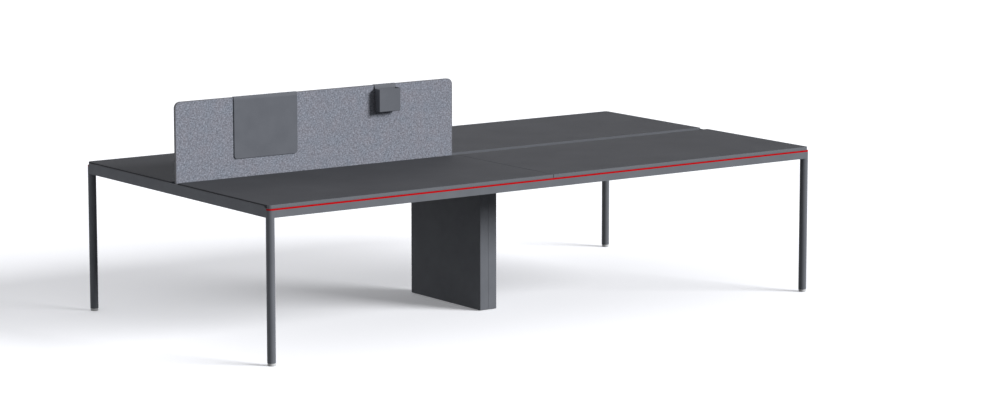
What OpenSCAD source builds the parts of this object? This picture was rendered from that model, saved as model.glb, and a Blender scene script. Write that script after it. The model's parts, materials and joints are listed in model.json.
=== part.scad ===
// Bench desk for four users: four sliding worktops on a frame with round legs,
// a cable leg under the middle, a felt screen on the left half, and a board
// and a small box that hang on the screen.
// Millimetres, +Z up, front users at -Y, origin on the floor under the middle.

/* [Desk] */
// Length of the frame
desk_len = 3200; // [3000:10:3600]
// Depth of the frame
desk_depth = 1680; // [1560:10:1800]
// Height of the worktop surface above the floor
desk_h = 740; // [680:1:780]
// Gap between a piece and the seat that it rests on or slides on
seat_gap = 0.3; // [0.2:0.05:0.4]

/* [Worktops] */
// Thickness of a worktop
top_t = 16; // [13:0.5:22]
// Radius of a worktop's outer corner
top_corner_r = 16; // [8:1:24]
// How far a worktop's user edge stands in from the beam's outer face
top_set = 5; // [2:0.5:10]
// Width of the cable channel between front and back worktops
channel_w = 60; // [50:1:80]
// Gap between left and right worktops
top_seam = 3; // [1:0.5:5]
// How far a worktop slides towards its user
slide_travel = 100; // [60:5:120]

/* [Frame] */
// Width of the beams and end rails, and diameter of the legs
tube_w = 40; // [36:1:50]
// Height of the beams and end rails
beam_h = 42; // [38:1:60]
// Wall of the beams and end rails
beam_wall = 2.5; // [2:0.1:4]
// Length of the spigots that hold a corner in the beam and the end rail
spigot_len = 50; // [30:1:80]
// Wall of a leg
leg_wall = 2; // [1.5:0.1:3]
// Length of the corner's spigot inside the leg
leg_spigot_len = 45; // [30:1:80]
// Height of the guide lip beside the worktops' ends
lip_h = 10; // [6:0.5:12]
// Thickness of the guide lip
lip_t = 3; // [2:0.1:4]
// Gap between the guide lip and the worktops' ends
lip_gap = 2; // [1:0.1:4]
// Length over which the lip slopes down onto the corner
lip_slope = 15; // [8:1:17]
// Height of the accent strip
accent_h = 8; // [5:0.5:12]
// Depth of the rebate that holds the accent strip
accent_t = 2; // [1:0.1:3]

/* [Leg fittings] */
// Shank diameter of the bolt that holds a leg to its corner
leg_bolt_d = 8; // [6:0.5:10]
// Head diameter of the leg bolt
leg_bolt_head_d = 13; // [11:0.5:16]
// Head height of the leg bolt
leg_bolt_head_h = 8; // [5:0.5:10]
// Thickness of the nut plate inside the top of a leg
leg_nut_h = 12; // [8:1:20]
// Height of the threaded socket in the bottom of a leg
socket_h = 30; // [20:1:50]
// Diameter of a leg's levelling foot
foot_d = 38; // [28:1:46]
// Height of a leg's levelling foot when it is screwed in
foot_h = 12.7; // [8:0.1:20]
// Bevel round a foot's lower edge
foot_bevel = 1.5; // [0.5:0.1:3]
// Diameter of the threaded studs on the levelling feet
stud_d = 10; // [8:0.5:12]
// Clearance round a stud or a bolt in its hole
thread_gap = 0.2; // [0.1:0.05:0.4]
// How far a levelling foot can be screwed out
foot_travel = 15; // [8:1:20]

/* [Centre of the frame] */
// Width of the crossbeam on the cable leg
cross_w = 80; // [70:1:90]
// Wall of the crossbeam
cross_wall = 3; // [2:0.1:4]
// Width and height of the inner rails
inner_rail_w = 30; // [24:1:34]
// Wall of the inner rails
inner_rail_wall = 2; // [1.5:0.1:3]
// How far the inner rails stand back from the cable channel
inner_rail_set = 2; // [1:0.5:6]
// Thickness of the plates welded on rail and crossbeam ends
end_plate_t = 4; // [3:0.5:6]
// Width of the ears on those plates
ear_w = 24; // [18:1:30]
// Shank diameter of the frame bolts
frame_bolt_d = 6; // [5:0.5:8]
// How far a frame bolt or screw reaches past the wall that it holds
bolt_reach = 4; // [2:0.5:6]

/* [Cable trays] */
// Height of a cable tray
tray_h = 90; // [60:1:130]
// Sheet thickness of a cable tray
tray_t = 1.5; // [1:0.1:2.5]
// Width of the flanges under the inner rails
tray_flange = 22; // [18:1:26]
// Gap between a tray's closed end and the end rail
tray_end_gap = 280; // [200:5:400]
// Gap between a tray's open end and the cable leg
tray_leg_gap = 10; // [5:1:30]
// Distance between the tie slots in a tray's floor
tie_pitch = 100; // [60:5:150]
// Length of a tie slot
tie_len = 40; // [20:1:50]
// Width of a tie slot
tie_w = 6; // [4:0.5:8]

/* [Slide channels] */
// Width of a slide channel
slide_w = 24; // [20:1:28]
// Height of a slide channel
slide_h = 18; // [15:0.5:20]
// Wall of a slide channel
slide_wall = 2; // [1.5:0.1:3]
// Width of the slot along the top of a slide channel
slide_slot = 8; // [6:0.5:10]
// Distance from the cable channel to a slide channel's inner end
slide_start = 150; // [110:1:200]
// Length of a slider
slider_len = 60; // [40:1:90]
// Distance between a worktop's two sliders on one side
slider_pitch = 240; // [120:5:320]
// Thickness of a slider's pad under the worktop
pad_t = 2; // [1.5:0.1:4]
// Height of a slider's head inside the channel
head_h = 6; // [4:0.5:8]

/* [Cable leg] */
// Width of the cable leg along the desk
cable_leg_w = 100; // [96:1:140]
// Depth of the cable leg across the desk
cable_leg_d = 600; // [500:5:800]
// Sheet thickness of the leg's two half shells
shell_t = 2; // [1.2:0.1:3]
// Outer bend radius of the shells
shell_bend_r = 4; // [3:0.5:8]
// Gap between the two shells at their seam
shell_seam = 0.8; // [0.4:0.1:2]
// Gap between the shells and the floor
shell_floor_gap = 3; // [2:0.5:8]
// Width of the flanges along the seam
seam_flange = 14; // [8:1:18]
// Width of the cable notch in the top of each shell
notch_w = 90; // [50:1:120]
// Height of the cable notch
notch_h = 80; // [40:1:120]
// Thickness of the base plate and the top plate
plate_t = 8; // [5:0.5:12]
// Width of the square posts
post_w = 40; // [30:1:50]
// Wall of the posts
post_wall = 2.5; // [1.5:0.1:4]
// Distance from a plate's end to the middle of the post
post_in = 62; // [58:1:120]
// Length of the cable hole in the base plate
cable_hole_l = 200; // [120:5:300]
// Width of the cable hole in the base plate
cable_hole_w = 60; // [40:1:70]
// Diameter of the cable leg's levelling feet
base_foot_d = 30; // [20:1:36]
// Height of those feet when they are screwed in
base_foot_h = 10; // [6:0.5:15]
// Height of the threaded bosses on the base plate
boss_h = 14; // [8:1:25]
// Diameter of the bosses
boss_d = 20; // [16:1:24]
// Shank diameter of the bolts through the top plate
plate_bolt_d = 8; // [6:0.5:10]

/* [Screen] */
// Height of the screen's top above the worktop surface
screen_h = 380; // [340:5:500]
// Thickness of the screen
screen_t = 13; // [11:0.5:20]
// Depth of the screen's bottom edge below the worktop surface, inside the channel
screen_sink = 8; // [2:0.5:14]
// Distance from the screen's outer end to the end of the desk
screen_end_gap = 10; // [4:1:40]
// Distance from the screen's inner end to the middle of the desk
screen_mid_gap = 10; // [4:1:60]
// Radius of the screen's top corners
screen_corner_r = 30; // [15:1:50]
// Thickness of the edging round the screen
edging_t = 2; // [1:0.1:4]
// Thickness of the felt on each face
felt_t = 2; // [1.5:0.1:3]
// Number of brackets that carry the screen
bracket_count = 3; // [2:1:4]
// Distance between the brackets
bracket_pitch = 460; // [300:10:480]
// Length of a bracket along the desk
bracket_w = 80; // [70:1:120]
// Depth of the brackets' floor below the top of the frame
bracket_drop = 24; // [20:1:26]
// Plate thickness of the brackets
bracket_t = 3; // [2:0.5:4]
// Width of a bracket's blade inside the screen
blade_w = 60; // [40:1:66]
// Thickness of the blade
blade_t = 4; // [3:0.5:5]
// How far the blade reaches up into the screen
blade_in = 60; // [30:1:90]
// Shank diameter of the small screws in brackets, trays and corners
screw_d = 5; // [3:0.5:6]

/* [Things hung on the screen] */
// Sheet thickness of the board and the box
sheet_t = 1.5; // [1:0.1:2]
// How far their hooks reach down behind the screen
hook_drop = 30; // [15:1:60]
// Width of the board
board_w = 355; // [250:5:420]
// Height of the board below the screen's top
board_h = 296; // [200:2:330]
// Depth of the board's turned edge
board_depth = 5; // [3:0.5:12]
// Radius of the board's lower corners
board_corner_r = 16; // [6:1:30]
// Height over which the board slopes out from the hook
board_shoulder = 15; // [8:1:30]
// Distance from the board to the screen's outer end
board_from_end = 318; // [280:1:360]
// Width of the box
box_w = 124; // [80:1:160]
// Height of the box
box_h = 112; // [80:1:150]
// Depth of the box
box_depth = 48; // [30:1:80]
// Distance from the screen's top down to the rim of the box
box_drop = 18; // [12:1:40]
// Distance from the box to the screen's inner end
box_from_end = 339; // [320:1:400]
// Gap between the box's back and the screen
box_back_gap = 6; // [3:0.5:10]

/* [Hidden] */
$fn = 64;

// Half sizes of the frame, outside and between its inner faces
half_l = desk_len / 2;
half_d = desk_depth / 2;
in_l = half_l - tube_w;
in_d = half_d - tube_w;

// Heights of the frame under the worktops
top_z0 = desk_h - top_t;
frame_z1 = top_z0 - seat_gap;
frame_z0 = frame_z1 - beam_h;
accent_z0 = frame_z1 - accent_h;

// Legs stand in the corners, flush with the frame's outer faces
leg_r = tube_w / 2;
leg_bore_r = leg_r - leg_wall;
leg_x = half_l - leg_r;
leg_y = half_d - leg_r;
leg_z0 = foot_h + seat_gap;
leg_nut_z1 = frame_z0 - leg_spigot_len - seat_gap;
leg_bolt_sink = 1;
leg_bolt_seat_z = frame_z1 - leg_bolt_head_h - leg_bolt_sink;
stud_len = socket_h + foot_travel;

// Hollows of the beams and end rails, which the corner spigots enter
beam_cav_y0 = in_d + beam_wall;
beam_cav_y1 = half_d - accent_t - beam_wall;
rail_cav_x0 = in_l + beam_wall;
rail_cav_x1 = half_l - beam_wall;
cav_z0 = frame_z0 + beam_wall;
cav_z1 = frame_z1 - beam_wall;
corner_screw_in = spigot_len / 2;
corner_screw_len = 10;

// Inner rails and what hangs under them
rail_y0 = channel_w / 2 + inner_rail_set;
rail_y1 = rail_y0 + inner_rail_w;
rail_z0 = frame_z1 - inner_rail_w;
rail_mid_z = rail_z0 + inner_rail_w / 2;
rail_bolt_y = rail_y1 + ear_w / 2;
cross_bolt_x = cross_w / 2 + ear_w / 2;
cross_bolt_z = frame_z0 + beam_h / 2;
tray_x0 = cable_leg_w / 2 + tray_leg_gap;
tray_x1 = in_l - tray_end_gap;
tray_z0 = rail_z0 - tray_h;
tray_screw_y = rail_y1 - inner_rail_w / 2;
tray_screw_in = 60;

// Slide channels under the worktops' ends, and the sliders in them
slide_z1 = top_z0 - pad_t - seat_gap;
slide_z0 = slide_z1 - slide_h;
slide_y0 = channel_w / 2 + slide_start;
slide_room = slider_pitch + slider_len + slide_travel + 2 * seat_gap;
slide_cap = 3;
slide_end_x = in_l - slide_w / 2;
slide_mid_x = cross_w / 2 + slide_w / 2;

// Cable leg: plates and posts inside two half shells
plate_x = cable_leg_w / 2 - shell_t - seat_gap;
plate_y = cable_leg_d / 2 - shell_t - seat_gap;
base_z0 = base_foot_h + seat_gap;
base_z1 = base_z0 + plate_t;
top_plate_z0 = frame_z0 - plate_t;
post_y = plate_y - post_in;
base_foot_side_room = 2;
base_foot_end_room = 6;
base_foot_x = plate_x - base_foot_d / 2 - base_foot_side_room;
base_foot_y = plate_y - base_foot_d / 2 - base_foot_end_room;
shell_z1 = frame_z0 - seat_gap;
flange_room = 6;
plate_bolt_x = cross_w / 2 - cross_wall - plate_bolt_d;
plate_bolt_y = 150;

// Screen outline and the brackets below it
screen_x0 = -half_l + screen_end_gap;
screen_x1 = -screen_mid_gap;
screen_z0 = desk_h - screen_sink;
screen_z1 = desk_h + screen_h;
core_t = screen_t - 2 * felt_t;
bracket_z0 = frame_z1 - bracket_drop;
bracket_y = rail_y0 - seat_gap;
bracket_screw_in = 12;
bracket_screw_x = bracket_w / 2 - bracket_screw_in;
bracket_screw_z = bracket_z0 + bracket_t + (bracket_drop - bracket_t) / 2;
bracket_mid = (screen_x0 + screen_x1) / 2;
bracket_xs = [
    for (i = [0 : bracket_count - 1]) bracket_mid + (i - (bracket_count - 1) / 2) * bracket_pitch
];

// Hooks of the board and the box, over the screen's top edge
hook_y = screen_t / 2 + seat_gap;
hook_z = screen_z1 + seat_gap;
board_x0 = screen_x0 + board_from_end;
board_z0 = screen_z1 - board_h;
board_z1 = screen_z1 - board_shoulder;
box_x0 = screen_x1 - box_from_end - box_w;
box_z1 = screen_z1 - box_drop;
box_z0 = box_z1 - box_h;

// Width and height of a button head, in shank diameters
head_width = 1.7;
head_height = 0.6;

// Colours of the finishes
coat = "#55565a";
coat_light = "#606165";
board_top = "#4c4d51";
accent_red = "#c4161f";
zinc = "#b9bcc0";
foot_grey = "#c3c4c6";
nylon = "#2a2a2c";
aluminium_grey = "#8d9095";
felt_grey = "#8b8d96";
edging_grey = "#505155";

// A box between its lowest and its highest corner
module block(low, high) {
    translate(low) cube(high - low);
}

// What is drawn in the +X +Y quarter, moved to the quarter of the two signs
module quarter(side_x, side_y) {
    mirror([side_x < 0 ? 1 : 0, 0, 0])
        mirror([0, side_y < 0 ? 1 : 0, 0])
            children();
}

// The same shape in all four quarters
module quarters() {
    for (side_x = [-1, 1], side_y = [-1, 1]) {
        quarter(side_x, side_y) children();
    }
}

// A button-head screw: head on the -Z side of its seat at the origin, shank along +Z
module cap_screw(shank_d, shank_len) {
    head_d = head_width * shank_d;
    head_t = head_height * shank_d;
    translate([0, 0, -head_t]) cylinder(d = head_d, h = head_t);
    translate([0, 0, -head_t / 2]) cylinder(d = shank_d, h = shank_len + head_t / 2);
}

// The hole for a screw's shank through walls of the given length
module screw_hole(shank_d, length) {
    translate([0, 0, -1]) cylinder(r = shank_d / 2 + thread_gap, h = length + 2);
}

// A levelling foot: disc on the floor and threaded stud
module levelling_foot(disc_d, disc_h, stud_h) {
    cylinder(r1 = disc_d / 2 - foot_bevel, r2 = disc_d / 2, h = foot_bevel);
    translate([0, 0, foot_bevel]) cylinder(d = disc_d, h = disc_h - foot_bevel);
    translate([0, 0, disc_h - 1]) cylinder(d = stud_d, h = stud_h + 1);
}

// Space of the accent strip along a beam and round the corner, in the +X +Y quarter
module accent_rebate() {
    block([-1, half_d - accent_t, accent_z0], [leg_x, half_d + 1, frame_z1 + 1]);
    translate([leg_x, leg_y, accent_z0])
        rotate_extrude(angle = 90)
            translate([leg_r - accent_t, 0]) square([accent_t + 1, accent_h + 1]);
}

// Half of an accent strip, with the quarter ring at its end
module accent_half() {
    inner_r = leg_r - accent_t + seat_gap;
    block([0, leg_y + inner_r, accent_z0], [leg_x, half_d, frame_z1]);
    translate([leg_x, leg_y, accent_z0])
        rotate_extrude(angle = 90)
            translate([inner_r, 0]) square([leg_r - inner_r, accent_h]);
}

module accent_strip(side_y) {
    color(accent_red) {
        union() {
            quarter(1, side_y) accent_half();
            quarter(-1, side_y) accent_half();
        }
    }
}

// Bolts through the crossbeam's end plate into the beam, in the +X +Y quarter
module at_cross_bolt() {
    translate([cross_bolt_x, in_d - end_plate_t, cross_bolt_z]) rotate([-90, 0, 0]) children();
}

// Bolts through the inner rail's end plates into the end rail and the crossbeam
module at_rail_bolts() {
    translate([in_l - end_plate_t, rail_bolt_y, rail_mid_z]) rotate([0, 90, 0]) children();
    translate([cross_w / 2 + end_plate_t, rail_bolt_y, rail_mid_z]) rotate([0, -90, 0]) children();
}

// Screws up through a tray's flange into the inner rail
module at_tray_screws() {
    for (x = [tray_x0 + tray_screw_in, tray_x1 - tray_screw_in]) {
        translate([x, tray_screw_y, rail_z0 - tray_t]) children();
    }
}

// Screws out through one bracket's ear into the inner rail, on the +Y side
module at_bracket_screws(x) {
    for (side = [-1, 1]) {
        translate([x + side * bracket_screw_x, bracket_y - bracket_t, bracket_screw_z])
            rotate([-90, 0, 0]) children();
    }
}

// Set screws up through the beam and the end rail into the corner's spigots
module at_corner_screws() {
    translate([in_l - corner_screw_in, (beam_cav_y0 + beam_cav_y1) / 2, frame_z0]) children();
    translate([(rail_cav_x0 + rail_cav_x1) / 2, in_d - corner_screw_in, frame_z0]) children();
}

module corner_screws() {
    color(zinc) {
        quarters() at_corner_screws() cylinder(d = screw_d, h = corner_screw_len);
    }
}

module corner_screw_holes() {
    at_corner_screws() {
        translate([0, 0, -1]) cylinder(r = screw_d / 2 + thread_gap, h = corner_screw_len + 1 + seat_gap);
    }
}

// Beam on the +Y side, hollow, with the rebate for its accent strip
module beam() {
    difference() {
        block([-in_l, in_d, frame_z0], [in_l, half_d, frame_z1]);
        block([-in_l - 1, beam_cav_y0, cav_z0], [in_l + 1, beam_cav_y1, cav_z1]);
        block([-in_l - 1, half_d - accent_t, accent_z0], [in_l + 1, half_d + 1, frame_z1 + 1]);
        for (side_x = [-1, 1]) {
            quarter(side_x, 1) {
                at_cross_bolt() screw_hole(frame_bolt_d, end_plate_t + beam_wall);
                corner_screw_holes();
            }
        }
    }
}

// End rail on the +X side, with the guide lip on its outer edge
module end_rail() {
    difference() {
        union() {
            block([in_l, -in_d, frame_z0], [half_l, in_d, frame_z1]);
            block([half_l - lip_t, -in_d, cav_z1], [half_l, in_d, frame_z1 + lip_h]);
        }
        block([rail_cav_x0, -in_d - 1, cav_z0], [rail_cav_x1, in_d + 1, cav_z1]);
        for (side_y = [-1, 1]) {
            quarter(1, side_y) {
                at_rail_bolts() screw_hole(frame_bolt_d, end_plate_t + beam_wall);
                corner_screw_holes();
            }
        }
    }
}

// Cast corner with spigots into the beam, the end rail and the leg
module corner() {
    difference() {
        union() {
            translate([leg_x, leg_y, frame_z0]) cylinder(r = leg_r, h = beam_h);
            block([in_l, in_d, frame_z0], [half_l, leg_y, frame_z1]);
            block([in_l, in_d, frame_z0], [leg_x, half_d, frame_z1]);
            block(
                [in_l - spigot_len, beam_cav_y0 + seat_gap, cav_z0 + seat_gap],
                [in_l + 1, beam_cav_y1 - seat_gap, cav_z1 - seat_gap]
            );
            block(
                [rail_cav_x0 + seat_gap, in_d - spigot_len, cav_z0 + seat_gap],
                [rail_cav_x1 - seat_gap, in_d + 1, cav_z1 - seat_gap]
            );
            translate([leg_x, leg_y, frame_z0 - leg_spigot_len])
                cylinder(r = leg_bore_r - seat_gap, h = leg_spigot_len + 1);
            translate([half_l - lip_t, in_d, frame_z1])
                rotate([90, 0, 90])
                    linear_extrude(lip_t)
                        polygon([[0, -1], [lip_slope, -1], [lip_slope, 0], [0, lip_h]]);
        }
        accent_rebate();
        corner_screw_holes();
        translate([leg_x, leg_y, frame_z0 - leg_spigot_len])
            screw_hole(leg_bolt_d, leg_spigot_len + beam_h);
        translate([leg_x, leg_y, leg_bolt_seat_z])
            cylinder(r = leg_bolt_head_d / 2 + 2 * seat_gap, h = leg_bolt_head_h + 2);
    }
}

module leg() {
    difference() {
        translate([leg_x, leg_y, leg_z0]) cylinder(r = leg_r, h = frame_z0 - leg_z0);
        translate([leg_x, leg_y, leg_z0 - 1]) cylinder(r = leg_bore_r, h = frame_z0 - leg_z0 + 2);
    }
}

// Bolt from the top of a corner down into the nut plate in the leg
module leg_bolt() {
    translate([leg_x, leg_y, leg_bolt_seat_z]) cylinder(d = leg_bolt_head_d, h = leg_bolt_head_h);
    translate([leg_x, leg_y, leg_nut_z1 - leg_nut_h])
        cylinder(d = leg_bolt_d, h = leg_bolt_seat_z - leg_nut_z1 + leg_nut_h + 1);
}

module leg_nut() {
    translate([leg_x, leg_y, leg_nut_z1 - leg_nut_h]) {
        difference() {
            cylinder(r = leg_bore_r - seat_gap, h = leg_nut_h);
            screw_hole(leg_bolt_d, leg_nut_h);
        }
    }
}

module leg_socket() {
    translate([leg_x, leg_y, leg_z0]) {
        difference() {
            cylinder(r = leg_bore_r - seat_gap, h = socket_h);
            screw_hole(stud_d, socket_h);
        }
    }
}

module leg_foot() {
    translate([leg_x, leg_y, 0]) levelling_foot(foot_d, foot_h, stud_len);
}

// Crossbeam between the two beams, with an eared plate on each end
module crossbeam() {
    color(coat) {
        difference() {
            union() {
                block([-cross_w / 2, -in_d, frame_z0], [cross_w / 2, in_d, frame_z1]);
                for (side_y = [-1, 1]) {
                    quarter(1, side_y) {
                        block(
                            [-cross_w / 2 - ear_w, in_d - end_plate_t, frame_z0],
                            [cross_w / 2 + ear_w, in_d, frame_z1]
                        );
                    }
                }
            }
            block(
                [-cross_w / 2 + cross_wall, -in_d + end_plate_t, frame_z0 + cross_wall],
                [cross_w / 2 - cross_wall, in_d - end_plate_t, frame_z1 - cross_wall]
            );
            quarters() {
                at_cross_bolt() screw_hole(frame_bolt_d, end_plate_t);
                at_rail_bolts() screw_hole(frame_bolt_d, end_plate_t + cross_wall);
                at_plate_bolt() screw_hole(plate_bolt_d, plate_t + cross_wall);
            }
        }
    }
}

// Inner rail in the +X +Y quarter, with an eared plate on each end
module inner_rail(holds_screen) {
    difference() {
        union() {
            block([cross_w / 2, rail_y0, rail_z0], [in_l, rail_y1, frame_z1]);
            block([cross_w / 2, rail_y0, rail_z0], [cross_w / 2 + end_plate_t, rail_y1 + ear_w, frame_z1]);
            block([in_l - end_plate_t, rail_y0, rail_z0], [in_l, rail_y1 + ear_w, frame_z1]);
        }
        block(
            [cross_w / 2 + end_plate_t, rail_y0 + inner_rail_wall, rail_z0 + inner_rail_wall],
            [in_l - end_plate_t, rail_y1 - inner_rail_wall, frame_z1 - inner_rail_wall]
        );
        at_rail_bolts() screw_hole(frame_bolt_d, end_plate_t);
        at_tray_screws() screw_hole(screw_d, tray_t + inner_rail_wall);
        if (holds_screen) {
            for (x = bracket_xs) {
                at_bracket_screws(-x) screw_hole(screw_d, bracket_t + seat_gap + inner_rail_wall);
            }
        }
    }
}

module frame_bolts() {
    color(zinc) {
        quarters() {
            at_cross_bolt() cap_screw(frame_bolt_d, end_plate_t + beam_wall + bolt_reach);
            at_rail_bolts() cap_screw(frame_bolt_d, end_plate_t + beam_wall + bolt_reach);
        }
    }
}

// Cable tray on the +X side, open towards the cable leg
module cable_tray() {
    open_y = rail_y1 - tray_flange;
    floor_len = tray_x1 - tray_x0 - tie_pitch;
    tie_count = floor(floor_len / tie_pitch) + 1;
    tie_x0 = (tray_x0 + tray_x1 - (tie_count - 1) * tie_pitch) / 2;
    difference() {
        block([tray_x0, -rail_y1, tray_z0], [tray_x1, rail_y1, rail_z0]);
        block(
            [tray_x0 - 1, -rail_y1 + tray_t, tray_z0 + tray_t],
            [tray_x1 - tray_t, rail_y1 - tray_t, rail_z0 - tray_t]
        );
        block([tray_x0 - 1, -open_y, rail_z0 - tray_t - 1], [tray_x1 - tray_t, open_y, rail_z0 + 1]);
        for (i = [0 : tie_count - 1], side_y = [-1, 1]) {
            translate([tie_x0 + i * tie_pitch, side_y * rail_y1 / 2, tray_z0 + tray_t / 2])
                cube([tie_len, tie_w, tray_t + 2], center = true);
        }
        for (side_y = [-1, 1]) {
            quarter(1, side_y) at_tray_screws() screw_hole(screw_d, tray_t);
        }
    }
}

module tray_screws() {
    color(zinc) {
        quarters() {
            at_tray_screws() cap_screw(screw_d, tray_t + inner_rail_wall + bolt_reach);
        }
    }
}

// Bolts up through the cable leg's top plate into the crossbeam
module at_plate_bolt() {
    translate([plate_bolt_x, plate_bolt_y, top_plate_z0]) children();
}

// Plate of the cable leg's frame, with rounded corners
module leg_plate() {
    linear_extrude(plate_t) {
        square([2 * plate_x, 2 * (plate_y - shell_bend_r)], center = true);
        square([2 * (plate_x - shell_bend_r), 2 * plate_y], center = true);
        for (side_x = [-1, 1], side_y = [-1, 1]) {
            translate([side_x * (plate_x - shell_bend_r), side_y * (plate_y - shell_bend_r)])
                circle(r = shell_bend_r);
        }
    }
}

module cable_leg_frame() {
    color(coat) {
        difference() {
            union() {
                translate([0, 0, base_z0]) leg_plate();
                translate([0, 0, top_plate_z0]) leg_plate();
                for (side_y = [-1, 1]) {
                    translate([0, side_y * post_y, (base_z1 + top_plate_z0) / 2])
                        cube([post_w, post_w, top_plate_z0 - base_z1 + 1], center = true);
                }
                quarters() {
                    translate([base_foot_x, base_foot_y, base_z1 - 1]) cylinder(d = boss_d, h = boss_h + 1);
                }
            }
            for (side_y = [-1, 1]) {
                translate([0, side_y * post_y, (base_z1 + top_plate_z0) / 2])
                    cube(
                        [post_w - 2 * post_wall, post_w - 2 * post_wall, top_plate_z0 - base_z1],
                        center = true
                    );
            }
            translate([0, 0, base_z0 + plate_t / 2])
                cube([cable_hole_w, cable_hole_l, plate_t + 2], center = true);
            quarters() {
                at_plate_bolt() screw_hole(plate_bolt_d, plate_t);
                translate([base_foot_x, base_foot_y, base_z0]) screw_hole(stud_d, plate_t + boss_h);
            }
        }
    }
}

module cable_leg_bolts() {
    color(zinc) {
        quarters() {
            at_plate_bolt() cap_screw(plate_bolt_d, plate_t + cross_wall + bolt_reach);
        }
    }
}

// Plan outline of half a shell on the +X side, grown inwards by a set amount
module shell_outline(inset) {
    hx = cable_leg_w / 2 - inset;
    hy = cable_leg_d / 2 - inset;
    r = shell_bend_r - inset;
    translate([0, -hy]) square([hx - r, 2 * hy]);
    translate([0, -hy + r]) square([hx, 2 * (hy - r)]);
    for (side_y = [-1, 1]) {
        translate([hx - r, side_y * (hy - r)]) circle(r = r);
    }
}

// Folded half shell on the +X side, with seam flanges and a cable notch
module cable_leg_shell() {
    seam_x = shell_seam / 2;
    flange_z0 = base_z1 + boss_h + flange_room;
    flange_y = cable_leg_d / 2 - shell_t;
    difference() {
        union() {
            translate([0, 0, shell_floor_gap]) {
                linear_extrude(shell_z1 - shell_floor_gap) {
                    difference() {
                        shell_outline(0);
                        shell_outline(shell_t);
                    }
                }
            }
            for (side_y = [-1, 1]) {
                quarter(1, side_y) {
                    block(
                        [0, flange_y - seam_flange, flange_z0],
                        [seam_x + shell_t, flange_y + 1, top_plate_z0 - flange_room]
                    );
                }
            }
        }
        block([-cable_leg_w, -cable_leg_d, 0], [seam_x, cable_leg_d, frame_z0]);
        block([cable_leg_w / 4, -notch_w / 2, shell_z1 - notch_h], [cable_leg_w, notch_w / 2, frame_z0]);
    }
}

module base_foot() {
    translate([base_foot_x, base_foot_y, 0])
        levelling_foot(base_foot_d, base_foot_h, plate_t + boss_h + foot_travel);
}

// Worktop in the +X +Y quarter, rounded at its outer corner
module worktop() {
    x0 = top_seam / 2;
    x1 = half_l - lip_t - lip_gap;
    y0 = channel_w / 2;
    y1 = half_d - top_set;
    r = top_corner_r;
    color(board_top) {
        translate([0, 0, top_z0]) {
            linear_extrude(top_t) {
                translate([x0, y0]) square([x1 - r - x0, y1 - y0]);
                translate([x0, y0]) square([x1 - x0, y1 - r - y0]);
                translate([x1 - r, y1 - r]) circle(r = r);
            }
        }
    }
}

// Slide channel with closed ends: its slot holds the sliders' stems
module slide_channel(x) {
    w = slide_w / 2;
    slot = slide_slot / 2;
    translate([x, slide_y0, 0]) {
        difference() {
            block([-w, -slide_cap, slide_z0], [w, slide_room + slide_cap, slide_z1]);
            block(
                [-w + slide_wall, 0, slide_z0 + slide_wall],
                [w - slide_wall, slide_room, slide_z1 - slide_wall]
            );
            block([-slot, 0, slide_z1 - slide_wall - 1], [slot, slide_room, slide_z1 + 1]);
        }
    }
}

module slide_channels_end(side_x) {
    color(aluminium_grey) {
        for (side_y = [-1, 1]) {
            quarter(side_x, side_y) slide_channel(slide_end_x);
        }
    }
}

module slide_channels_centre() {
    color(aluminium_grey) quarters() slide_channel(slide_mid_x);
}

// One slider: pad under the worktop, stem through the slot, head in the channel
module slider(x, y) {
    w = slide_w / 2;
    head_w = w - slide_wall - seat_gap;
    head_z1 = slide_z1 - slide_wall - seat_gap;
    stem_w = slide_slot / 2 - seat_gap;
    translate([x, y, 0]) {
        block([-w, 0, slide_z1 + seat_gap], [w, slider_len, top_z0]);
        block([-stem_w, 0, head_z1 - 1], [stem_w, slider_len, slide_z1 + seat_gap + 1]);
        block([-head_w, 0, head_z1 - head_h], [head_w, slider_len, head_z1]);
    }
}

module sliders() {
    color(nylon) {
        for (x = [slide_end_x, slide_mid_x], y = [0, slider_pitch]) {
            slider(x, slide_y0 + seat_gap + y);
        }
    }
}

// Front outline of the screen, square below and rounded above
module screen_outline(inset) {
    x0 = screen_x0 + inset;
    x1 = screen_x1 - inset;
    z0 = screen_z0 + inset;
    z1 = screen_z1 - inset;
    r = screen_corner_r - inset;
    translate([x0, z0]) square([x1 - x0, z1 - r - z0]);
    translate([x0 + r, z0]) square([x1 - x0 - 2 * r, z1 - z0]);
    for (x = [x0 + r, x1 - r]) {
        translate([x, z1 - r]) circle(r = r);
    }
}

// A flat outline in X and Z, given its thickness between two Y planes
module upright(y0, y1) {
    translate([0, y1, 0]) rotate([90, 0, 0]) linear_extrude(y1 - y0) children();
}

// Room for the brackets' blades
module blade_slots() {
    for (x = bracket_xs) {
        block(
            [x - blade_w / 2 - seat_gap, -blade_t / 2 - seat_gap, screen_z0 - 1],
            [x + blade_w / 2 + seat_gap, blade_t / 2 + seat_gap, screen_z0 + blade_in + seat_gap]
        );
    }
}

module screen_core() {
    color(coat_light) {
        difference() {
            upright(-core_t / 2, core_t / 2) screen_outline(edging_t + seat_gap);
            blade_slots();
        }
    }
}

module screen_felt(y0) {
    color(felt_grey) upright(y0, y0 + felt_t) screen_outline(edging_t + seat_gap);
}

module screen_edging() {
    color(edging_grey) {
        difference() {
            upright(-screen_t / 2, screen_t / 2) {
                difference() {
                    screen_outline(0);
                    screen_outline(edging_t);
                }
            }
            blade_slots();
        }
    }
}

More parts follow.
